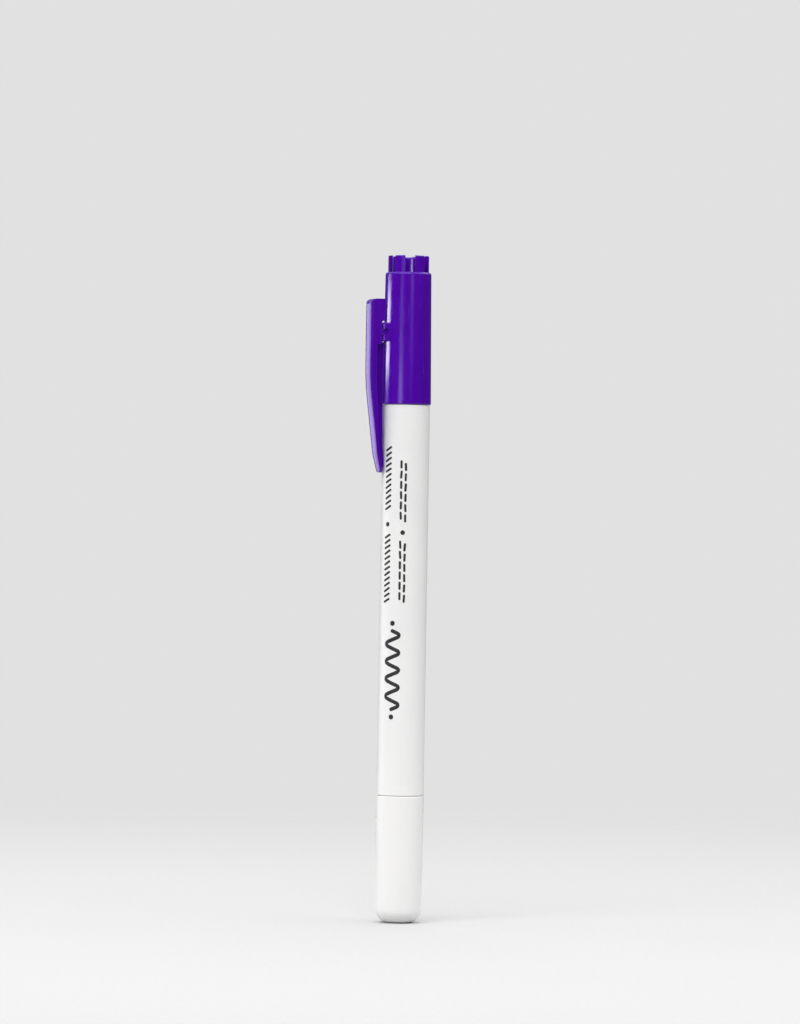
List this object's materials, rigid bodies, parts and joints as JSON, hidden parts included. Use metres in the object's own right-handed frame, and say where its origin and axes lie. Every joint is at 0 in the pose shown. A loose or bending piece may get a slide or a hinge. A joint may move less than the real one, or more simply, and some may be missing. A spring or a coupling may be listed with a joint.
{
  "type": "fabric marking pen",
  "caption": "Slim two-ended fabric marking pen: fine marking tip under a clipped, vented cap, and a wider eraser tip under a plain rounded cap.",
  "frame": {"origin": "centre of the flat on the eraser cap's closed end, where the pen stands", "axes": "+Z along the pen to the vented marking cap; -Y is the pen's front; the clip stands towards -X, turned 18 degrees to the front"},
  "size_m": [0.0138, 0.0102, 0.14],
  "materials": {
    "barrel_plastic": "satin white polypropylene",
    "section_plastic": "moulded white polypropylene",
    "violet_plastic": "glossy violet polypropylene",
    "inked_fibre": "bonded polyester fibre soaked in violet ink",
    "plain_fibre": "bonded polyester fibre, damp",
    "reservoir_film": "thin polypropylene film"
  },
  "bodies": {
    "eraser_cap": {"eraser_cap_shell": "barrel_plastic"},
    "eraser_cap_seal": {"eraser_cap_liner": "section_plastic"},
    "pen_body": {"barrel": "barrel_plastic", "marking_section": "section_plastic", "marking_nib": "inked_fibre", "ink_fibre_core": "inked_fibre", "ink_film_sleeve": "reservoir_film", "reservoir_divider": "section_plastic", "eraser_fibre_core": "plain_fibre", "eraser_film_sleeve": "reservoir_film", "eraser_section": "section_plastic", "eraser_nib": "plain_fibre"},
    "marking_cap_seal": {"marking_cap_liner": "violet_plastic"},
    "marking_cap": {"marking_cap_shell": "violet_plastic"},
    "clip": {"pocket_clip": "violet_plastic"}
  },
  "joints": [
    {"name": "eraser_cap_twist", "type": "hinge", "parent": "eraser_cap", "child": "eraser_cap_seal", "pos_m": [0, 0, 0.01], "axis": [0, 0, 1], "continuous": true},
    {"name": "eraser_cap_pull", "type": "slide", "parent": "eraser_cap_seal", "child": "pen_body", "axis": [0, 0, 1], "range_m": [0, 0.026]},
    {"name": "marking_cap_pull", "type": "slide", "parent": "pen_body", "child": "marking_cap_seal", "axis": [0, 0, 1], "range_m": [0, 0.027]},
    {"name": "marking_cap_twist", "type": "hinge", "parent": "marking_cap_seal", "child": "marking_cap", "pos_m": [0, 0, 0.125], "axis": [0, 0, 1], "continuous": true},
    {"name": "clip_flex", "type": "hinge", "parent": "marking_cap", "child": "clip", "pos_m": [-0.00518, -0.00168, 0.1239], "axis": [-0.309, 0.9511, 0], "range_deg": [0, 4.5], "stiffness_Nm_per_rad": 1.2}
  ]
}
